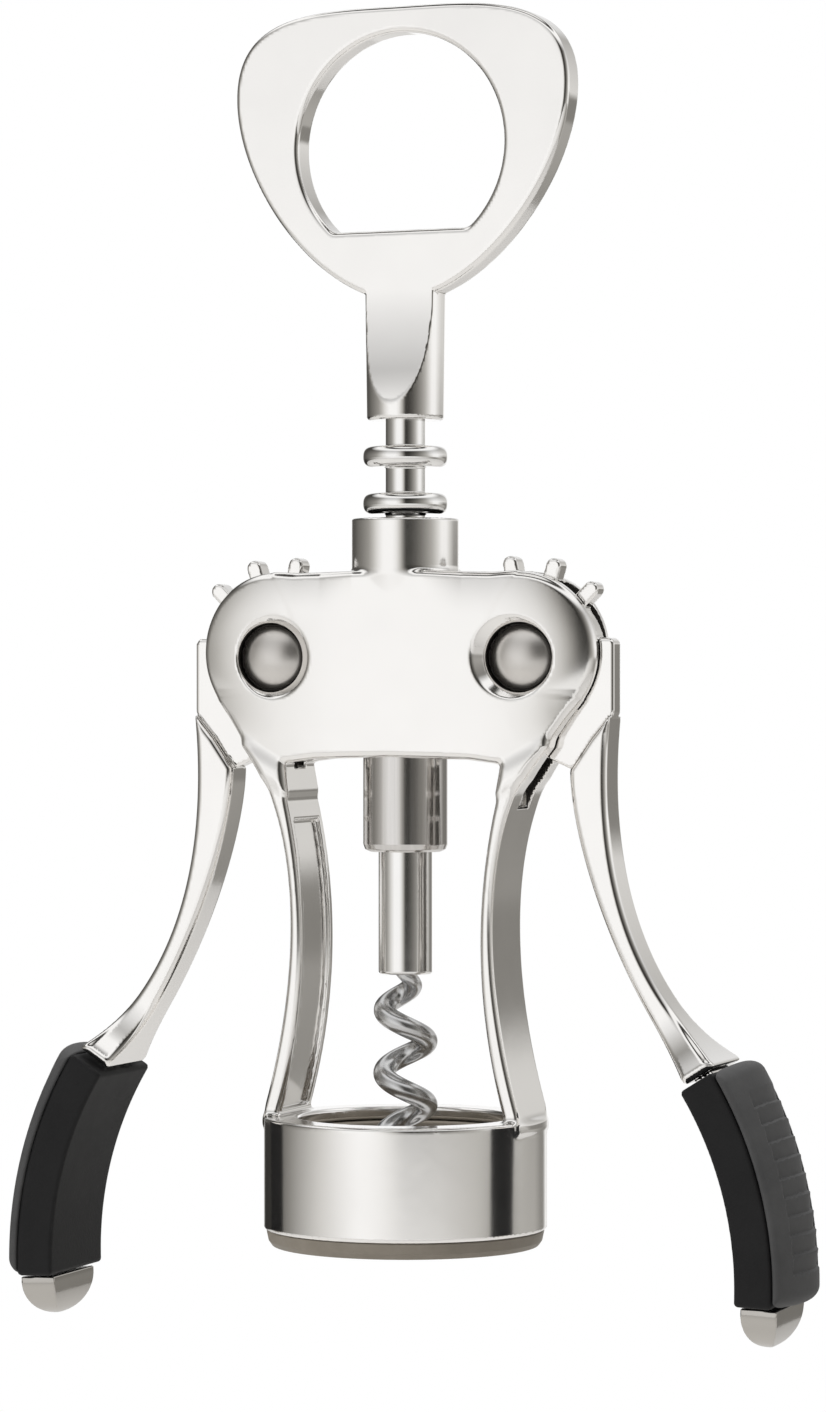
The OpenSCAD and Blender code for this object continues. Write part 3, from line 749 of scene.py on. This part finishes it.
def castBody():
    h = housing
    earX, earZ = pivotX + h["earShift"][0], pivotZ + h["earShift"][1]
    earEdge = h["earRadius"] * 0.99
    outer, inner = legOuter(), legInner(0)
    lean = math.radians(h["earLean"])
    # one half of the plate, run past the middle, where shape() mirrors it
    plateField = outlineField([
        (-6, h["top"]), (0, h["top"]), (pivotX * 0.8, h["top"] - 0.35), (earX, earZ + h["earRadius"] - 0.02),
        (earX + earEdge * math.cos(lean), earZ - earEdge * math.sin(lean)),
        tuple(outer[0]), tuple(outer[22]), tuple(inner[12]), (pivotX - 2.2, h["windowZ"] - 0.9),
        (pivotX * 0.62, h["windowZ"] - 0.3), (0, h["windowZ"]), (-6, h["windowZ"])])
    legField = outlineField(np.concatenate([outer, inner[::-1]]))
    channelField = outlineField(np.concatenate([legInner(legs["channel"]), legInner(-3)[::-1]]))
    wallField = outlineField(np.concatenate([legInner(legs["slotWall"]), legInner(-3)[::-1]]))
    wellFace = h["faceY"] - h["crownRadius"] + math.sqrt(h["crownRadius"] ** 2 - pivotX ** 2)

    def plateShape(x, y, z):
        ear = np.hypot(x - earX, z - earZ) - h["earRadius"]
        crown = h["faceY"] - h["crownRadius"] + np.sqrt(h["crownRadius"] ** 2 - x * x)
        flat = softMin(plateField(x, z), ear, 0.6)
        # the pillow fades out at the collar and down at the legs
        fade = np.clip((z - h["pillowFoot"]) / 7, 0, 1)
        fade = fade * (1 - np.clip((10 - x) / 5, 0, 1) * np.clip((z - 76) / 6, 0, 1))
        crown = crown - fade * h["pillow"] * np.clip(1 + flat / h["pillowReach"], 0, 1) ** 3
        return roundedSlab(flat, y, crown, h["edge"])

    def legShape(x, y, z, out):
        half = legs["half"] - legs["narrow"] * np.clip((z - legs["narrowFoot"]) / 9, 0, 1) ** 2
        leg = roundedSlab(legField(x, z), y, half, legs["edge"])
        channel = roundedBox([channelField(x, z), y - legs["half"] + legs["flange"], ring["top"] + 0.8 - z,
                              z - legs["channelTop"]], 0.3)
        leg = softMax(leg, -channel, h["crease"])
        trim = np.where(z < legs["trimTop"], np.minimum(out - ring["radius"], 3.0), -3.0)
        return softMax(leg, trim, 0.3)

    def shape(p):
        x, y, z = np.abs(p[:, 0]), np.abs(p[:, 1]), p[:, 2]
        out = np.hypot(x, y)
        solid = softMin(plateShape(x, y, z), legShape(x, y, z, out), legs["shoulder"])
        middle, half = (h["collarTop"] + h["collarFoot"]) / 2, (h["collarTop"] - h["collarFoot"]) / 2
        taper = h["collarTaper"] * np.maximum(h["top"] - 0.4 - z, 0)
        collar = roundedSlab(out - h["collarRadius"] + taper, np.abs(z - middle), half, 0.3)
        solid = softMin(solid, collar, h["collarBlend"])
        # the gear slot spares the collar's core and a thin wall inside each leg
        core = np.maximum(out - h["collarRadius"] - 0.2, np.minimum(h["sweepTop"] - z, z - h["sweepFoot"]))
        backing = np.maximum(wallField(x, z), z - h["windowZ"] + 1)
        slot = [y - h["slotHalf"], h["slotFoot"] - z, z - h["top"] - 1.2, -core, -backing]
        solid = softMax(solid, -np.maximum.reduce(slot), 0.3)
        wall = roundedRing(out, z, ring["radius"], ring["bore"], ring["top"], ring["foot"], ring["edge"])
        rim = roundedRing(out, z, ring["radius"], ring["rimBore"], ring["top"], ring["top"] - ring["rim"],
                          ring["edge"])
        solid = softMin(solid, np.minimum(wall, rim), legs["blend"])
        solid = softMax(solid, -np.maximum(out - h["bore"], h["boreFoot"] - z), 0.3)
        solid = softMax(solid, -np.maximum(out - h["bushBore"], h["bushFoot"] - z), 0.2)
        fromPin = np.hypot(x - pivotX, z - pivotZ)
        well = np.maximum(fromPin - h["wellRadius"], h["wellFloor"] - y)
        solid = softMax(solid, -well, h["crease"])
        bevel = (fromPin - h["wellRadius"] - (y - wellFace + h["wellBevel"])) * 0.7071
        return softMax(solid, -bevel, h["crease"])

    points, quads, normals = cast(shape, castGrids["body"])
    makeMesh("bodyCasting", points, quads, "body_frame", normals, frameChrome)


castBody()


handle = {
    "turn": -4.5,          # degrees
    "barrelRadius": 5.35,
    "barrelTaper": 0.012,
    "barrelEdge": 0.45,
    "barrelTop": 1.2,      # above the neck
    "barrelFoot": low("handle")[2],
    "neckZ": 126.77,
    "width": 48.6,
    "height": 38.1,
    "half": 2.1,
    "openerRadius": 15.0,
    "openerTop": 3.5,
    "openerFlat": 1.753,
    "scoopRadius": 38.0,
    "edge": 0.75,
}


def castHandle():
    h = handle
    w, up, neck = h["width"], h["height"], h["barrelTop"]
    waist, foot = (w / 2, up * 0.704), (h["barrelRadius"] - 0.15, -0.1)
    side = np.concatenate([
        bezier([(0, up), (w * 0.247, up), (w / 2, up + 0.7), waist], 160),
        bezier([waist, (w / 2, up * 0.441), (w * 0.319, up * 0.1), foot], 160)[1:]])
    plateField = outlineField(np.concatenate([[(-6, up)], side, [(-6, -0.1)]]))
    openerZ = up - h["openerTop"] - h["openerRadius"]
    flatZ = up - h["openerTop"] - h["openerRadius"] * h["openerFlat"]
    c, s = math.cos(math.radians(h["turn"])), math.sin(math.radians(h["turn"]))
    barrelFoot = h["barrelFoot"] - h["neckZ"]

    def shape(p):
        u = np.abs(c * p[:, 0] + s * p[:, 1])
        v = np.abs(-s * p[:, 0] + c * p[:, 1])
        z = p[:, 2] - h["neckZ"]
        hole = softMax(np.hypot(u, z - openerZ) - h["openerRadius"], flatZ - z, 0.5)
        flat = softMax(plateField(u, z), -hole, 0.1)
        plate = roundedSlab(flat, v, h["half"], h["edge"])
        barrel = roundedSlab(np.hypot(u, v) - h["barrelRadius"] + h["barrelTaper"] * np.maximum(-z, 0),
                             np.abs(z - (barrelFoot + neck) / 2), (neck - barrelFoot) / 2, h["barrelEdge"])
        drop = np.minimum(z - 0.3, 0) ** 2
        scoop = h["half"] + h["scoopRadius"] - np.sqrt(np.maximum(h["scoopRadius"] ** 2 - drop, 1))
        return np.minimum(plate, softMax(barrel, (v - scoop) * 0.93, 0.15))

    points, quads, normals = cast(shape, castGrids["handle"])
    makeMesh("openerHandle", points, quads, "handle", normals)


castHandle()


lever = {
    "teeth": 13,
    "toothHalf": 1.05,
    "tip": 13.601,
    "root": 10.2,
    "hang": 3.7,           # degrees
    "hubOut": 12.101,
    "hubUp": 2.55,
    "stepDown": 7.35,
    "hubFoot": (6.3, -14.8),
    "gearHalf": 1.55,
    "armHalf": 3.1,
    "flareHalf": 6.7,
    "flareRadius": 14.0,
    "flareEnd": 1.0,
    "tangRadius": 50.1,
    "tangHalf": (1.3, 3.6),
    "endAngle": 32.8,      # degrees
    "bend": (-17.2, -81.4),
    "armEdge": 0.95,
}
grip = {
    "radius": 47.55,
    "thick": 6.0,
    "padEdge": 0.9,
    "crown": 2.6,
    "half": 8.7,
    "endRound": 2.2,
    "top": 32.1,           # degrees
    "span": 34.6,
    "ribs": 10,
    "ribCut": 0.42,
    "ribRise": 0.12,       # the steep share of each rib
    "ribHalf": 6.0,
}


def onBend(radius, degrees):
    a = math.radians(degrees)
    return (lever["bend"][0] + radius * math.cos(a), lever["bend"][1] + radius * math.sin(a))


def aroundBend(p):
    q = p[:, 0] - pivotX - lever["bend"][0], p[:, 2] - pivotZ - lever["bend"][1]
    return np.hypot(*q), np.degrees(np.arctan2(q[1], q[0]))


def leverFields():
    v = lever
    outEnd = onBend(grip["radius"] + grip["thick"] - 0.7, v["endAngle"])
    inEnd = onBend(grip["radius"] + 0.45, v["endAngle"])
    outer = bezier([(v["hubOut"] - 0.2, -v["stepDown"]), (9.9, -27), (14.5, -43), outEnd], 200)
    inner = bezier([v["hubFoot"], (6.4, -24), (12.5, -42.5), inEnd], 200)
    arm = outlineField(np.concatenate([outer, inner[::-1], [(9.1, -10.7)]]))
    foot = v["hubFoot"]
    hub = outlineField([
        (0, v["hubUp"]), (v["hubOut"] - 0.5, v["hubUp"]), (v["hubOut"], v["hubUp"] - 0.6),
        (v["hubOut"], -v["stepDown"]), foot, (foot[0] - 3.4, foot[1] + 1.5), (-1, -v["root"] + 0.2)])
    return arm, hub


def castLevers():
    v = lever
    armField, hubField = leverFields()
    endWay = math.radians(v["endAngle"])
    flareOut = v["flareHalf"] - v["armHalf"]
    flareTop = v["flareEnd"] + math.sqrt(v["flareRadius"] ** 2 - (v["flareRadius"] - flareOut) ** 2)

    def shape(p):
        u, y, w = p[:, 0] - pivotX, np.abs(p[:, 1]), p[:, 2] - pivotZ
        gear = softMin(np.hypot(u, w) - v["root"], hubField(u, w), 0.3)
        for k in range(-1, 6):
            a = math.radians(180 + v["hang"] - k * 360 / v["teeth"])
            along = u * math.cos(a) + w * math.sin(a)
            across = -u * math.sin(a) + w * math.cos(a)
            reach = np.clip(along, 6, v["tip"] - v["toothHalf"])
            gear = softMin(gear, np.hypot(along - reach, across) - v["toothHalf"], 0.5)
        gear = np.maximum(gear, 2.55 - np.hypot(u, w))
        wheel = roundedSlab(gear, y, v["gearHalf"], 0.4)
        above = -math.sin(endWay) * (u - v["bend"][0]) + math.cos(endWay) * (w - v["bend"][1])
        dip = np.clip(flareTop - above, 0, v["flareRadius"] - 0.02)
        half = v["armHalf"] + v["flareRadius"] - np.sqrt(v["flareRadius"] ** 2 - dip ** 2)
        half = softMin(half, np.full(len(u), v["flareHalf"]), 0.3)
        arm = roundedSlab(armField(u, w), y, half, v["armEdge"])
        r, angle = aroundBend(p)
        arc = np.abs(np.radians(angle - v["endAngle"])) * r - 1.6
        tang = roundedBox([np.abs(r - v["tangRadius"]) - v["tangHalf"][0], y - v["tangHalf"][1], arc], 0.2)
        return np.minimum(softMin(wheel, arm, 0.25), tang)

    makePair("Lever", "lever", *cast(shape, castGrids["lever"], (pivotX, 0, pivotZ)))


castLevers()


def castGrips():
    g = grip
    middle = g["top"] - g["span"] / 2
    seam = g["radius"] + g["thick"] - g["padEdge"]

    def pastEnds(r, angle):
        return np.abs(np.radians(angle - middle)) * r - math.radians(g["span"] / 2) * r

    def gripShape(p):
        r, angle = aroundBend(p)
        between = np.abs(r - (g["radius"] + seam) / 2) - (seam - g["radius"]) / 2
        return roundedBox([between, np.abs(p[:, 1]) - g["half"], pastEnds(r, angle)], 0.55)

    def padShape(p):
        r, angle = aroundBend(p)
        y = np.abs(p[:, 1])
        crown = g["radius"] + g["thick"] + g["crown"] * (1 - np.minimum(y / g["half"], 1) ** 2)
        lowest = g["top"] - g["span"] * 0.87
        phase = (angle - lowest) / (g["span"] * 0.74 / g["ribs"])
        inside = np.clip(phase, 0, g["ribs"])
        part = inside - np.floor(inside)
        rise = g["ribRise"]
        saw = np.where(part < rise, part / rise, 1 - (part - rise) / (1 - rise))
        saw = saw * ((phase > 0) & (phase < g["ribs"]))
        inPanel = np.clip((g["ribHalf"] - y) / 0.25, 0, 1)
        top = (r - crown + g["ribCut"] * saw * inPanel) * 0.8
        profile = roundedBox([top, pastEnds(r, angle)], g["endRound"])
        return roundedBox([profile, seam + 0.05 - r, y - g["half"]], 0.4)

    makePair("Grip", "grip", *cast(gripShape, castGrids["grip"], (pivotX, 0, pivotZ)))
    makePair("Pad", "grip_pad", *cast(padShape, castGrids["pad"], (pivotX, 0, pivotZ)))


endCap = {
    "half": 2.45,
    "depthHalf": 6.7,
    "height": 5.6,
    "skirt": 0.6,
    "tilt": -2.85,         # degrees
    "start": 0.45,
}


def castEndCaps():
    e = endCap
    a = math.radians(e["tilt"])

    def dome(x, half, z):
        down = np.maximum(-z - e["skirt"], 0) / (e["height"] - e["skirt"])
        return (np.sqrt((x / half) ** 2 + down ** 2 + 1e-9) - 1) * half * 0.8

    def shape(p):
        qx, qz = p[:, 0] - pivotX - lever["bend"][0], p[:, 2] - pivotZ - lever["bend"][1]
        x = np.abs(qx * math.cos(a) + qz * math.sin(a) - grip["radius"] - e["start"] - e["half"])
        z = -qx * math.sin(a) + qz * math.cos(a)
        y = np.abs(p[:, 1])
        crossed = softMax(dome(x, e["half"], z), dome(y, e["depthHalf"], z) * 0.7, 0.12)
        return softMax(crossed, z, 0.2)

    makePair("EndCap", "end_cap", *cast(shape, castGrids["cap"], (pivotX, 0, pivotZ)))


castGrips()
castEndCaps()

spindle = {
    "ringRadius": 5.65,
    "ringHalf": 1.375,
    "ringRound": 1.3,
    "ringPitch": 6.25,
    "topRingZ": 104.94,
    "rings": 6,
    "stemRadius": 2.65,
    "fillet": 0.3,
    "flashTurn": -4.5,     # degrees, where the mould's halves met
    "flashHeight": 0.12,
    "flashWidth": 2.2,
}


def turnSpindle():
    s = spindle
    stem, outer = s["stemRadius"], s["ringRadius"]
    profile = [(stem, high("worm_holder")[2] - 0.4)]
    for k in range(s["rings"] - 1, -1, -1):
        z = s["topRingZ"] - k * s["ringPitch"]
        under, over = z - s["ringHalf"], z + s["ringHalf"]
        profile += [(stem, under, s["fillet"]), (outer, under, s["ringRound"]),
                    (outer, over, s["ringRound"]), (stem, over, s["fillet"])]
    profile.append((stem, handle["barrelFoot"] + 0.3))

    def flash(angle, z, r):
        total = 0
        for turn in (s["flashTurn"], s["flashTurn"] + 180):
            off = (np.degrees(angle) - turn + 180) % 360 - 180
            total = total + np.exp(-(off / s["flashWidth"]) ** 2)
        return total * s["flashHeight"] * (r < stem + 0.4)

    makeTurned("ringedSpindle", "rack_shaft", profile, 180, 8, flash)


# In the profiles below each corner is a radius, a height and how far it is rounded
def turnWormHolder():
    foot, top = low("worm_holder")[2], high("worm_holder")[2]
    r = spindle["ringRadius"]
    makeTurned("wormHolder", "worm_holder", [
        (3.2, foot + 0.25), (3.7, foot), (r - 0.9, foot, 0.15), (r - 0.25, foot + 0.3, 0.3),
        (r, foot + 1, 0.5), (r, top - 0.5, 0.3), (r - 0.5, top, 0.3), (2.0, top)], 128, 6)


def turnWormSleeve():
    foot, top = low("worm_sleeve")[2], low("worm_holder")[2]
    r = high("worm_sleeve")[0]
    makeTurned("wormSleeve", "worm_sleeve", [
        (1.5, foot + 0.3), (2.2, foot, 0.2), (r, foot, 0.45), (r, top + 0.6), (2.2, top + 0.7)], 112, 6)


worm = {
    "length": 34.0,
    "pitch": 8.5,
    "wireRadius": 1.4,
    "coilRadius": 2.9,
    "leadIn": 0.16,        # share of the length over which the coil swings out
    "taper": 0.2,          # share of the length that narrows to the point
    "tipShare": 0.07,      # of the wire's radius, left at the point
    "perTurn": 56,
    "sides": 24,
}


def windWorm():
    w = worm
    top = low("worm_sleeve")[2]
    steps = round(w["length"] / w["pitch"] * w["perTurn"])
    lean = math.atan(2 * math.pi * w["coilRadius"] / w["pitch"])
    share = np.concatenate([[0, 0], np.linspace(0, 1, steps + 1)])
    heights = np.concatenate([[top + 1.5, top + 0.75], top - np.linspace(0, 1, steps + 1) * w["length"]])
    points, faces = [], []
    around = np.linspace(0, 2 * math.pi, w["sides"], endpoint=False)
    for t, z in zip(share, heights):
        a = 2 * math.pi * t * w["length"] / w["pitch"]
        tilt = lean * min(1, t / 0.1)
        out = np.array([math.cos(a), math.sin(a), 0])
        across = np.array([-math.sin(a) * math.cos(tilt), math.cos(a) * math.cos(tilt), math.sin(tilt)])
        swing = w["coilRadius"] * math.sin(math.pi / 2 * min(1, t / w["leadIn"]))
        tip = max(0, (t - 1 + w["taper"]) / w["taper"])
        r = w["wireRadius"] * (1 - (1 - w["tipShare"]) * tip ** 1.3)
        middle = swing * out + np.array([0, 0, z])
        points.append(middle + r * (np.cos(around)[:, None] * out + np.sin(around)[:, None] * across))
    n = w["sides"]
    for k in range(len(points) - 1):
        for j in range(n):
            m = (j + 1) % n
            faces.append((k * n + j, k * n + m, (k + 1) * n + m, (k + 1) * n + j)[::-1])
    faces.append(tuple(range(n)))
    faces.append(tuple((len(points) - 1) * n + j for j in range(n - 1, -1, -1)))
    makeMesh("corkWorm", np.concatenate(points), faces, "worm")


def turnInsert():
    r, top = ring["radius"], ring["top"] - ring["rim"] - 0.1
    bore = ring["bore"] - 2.3
    step = 13.0
    makeTurned("seatInsert", "seat_insert", [
        (r - 2.2, 0), (r - 1.1, 0, 0.3), (r - 0.6, 0.7, 0.4), (r - 0.3, 2.13, 0.15),
        (ring["bore"] - 0.02, 2.13), (ring["bore"] - 0.02, top, 0.1), (bore - 2.4, top, 0.5),
        (bore - 2.4, step, 0.3), (bore, step, 0.2), (bore, 0.6, 0.3), (bore + 0.6, 0, 0.2),
        (r - 2.2, 0)], 160, 4)


def turnBush():
    foot, top = low("guide_bush")[2], high("guide_bush")[2]
    outer = high("guide_bush")[0]
    inner = outer - 0.45
    makeTurned("guideBush", "guide_bush", [
        (outer, foot + 1), (outer, top, 0.12), (inner, top, 0.12), (inner, foot, 0.1),
        (outer, foot, 0.1), (outer, foot + 1)], 128, 4)


pin = {
    "shaft": 2.5,
    "head": 4.25,
    "seat": 3.42,
    "rim": 0.3,
    "dome": 1.5,
}


def turnPins():
    p = pin
    curve = (p["head"] ** 2 + p["dome"] ** 2) / (2 * p["dome"])
    dome = [(x, p["seat"] + p["rim"] + math.sqrt(curve ** 2 - x * x) - curve + p["dome"])
            for x in np.linspace(p["head"], 0.02, 22)]
    upper = [(p["shaft"], p["seat"]), (p["head"] - 0.15, p["seat"], 0.1)] + [(x, z, 0.12) for x, z in dome]
    whole = [(q[0], -q[1], *q[2:]) for q in upper[::-1]] + upper
    points, faces, normals = turned(whole, 96, 3)
    for side, node in ((1, "right_pivot_pin"), (-1, "left_pivot_pin")):
        across, along, up = points[:, 0] * side, points[:, 2] * side, -points[:, 1]
        stood = np.stack([across + side * pivotX, along, up + pivotZ], 1)
        facing = np.stack([normals[:, 0] * side, normals[:, 2] * side, -normals[:, 1]], 1)
        makeMesh("rightPin" if side > 0 else "leftPin", stood, faces, node, facing)


turnSpindle()
turnWormHolder()
turnWormSleeve()
windWorm()
turnInsert()
turnBush()
turnPins()
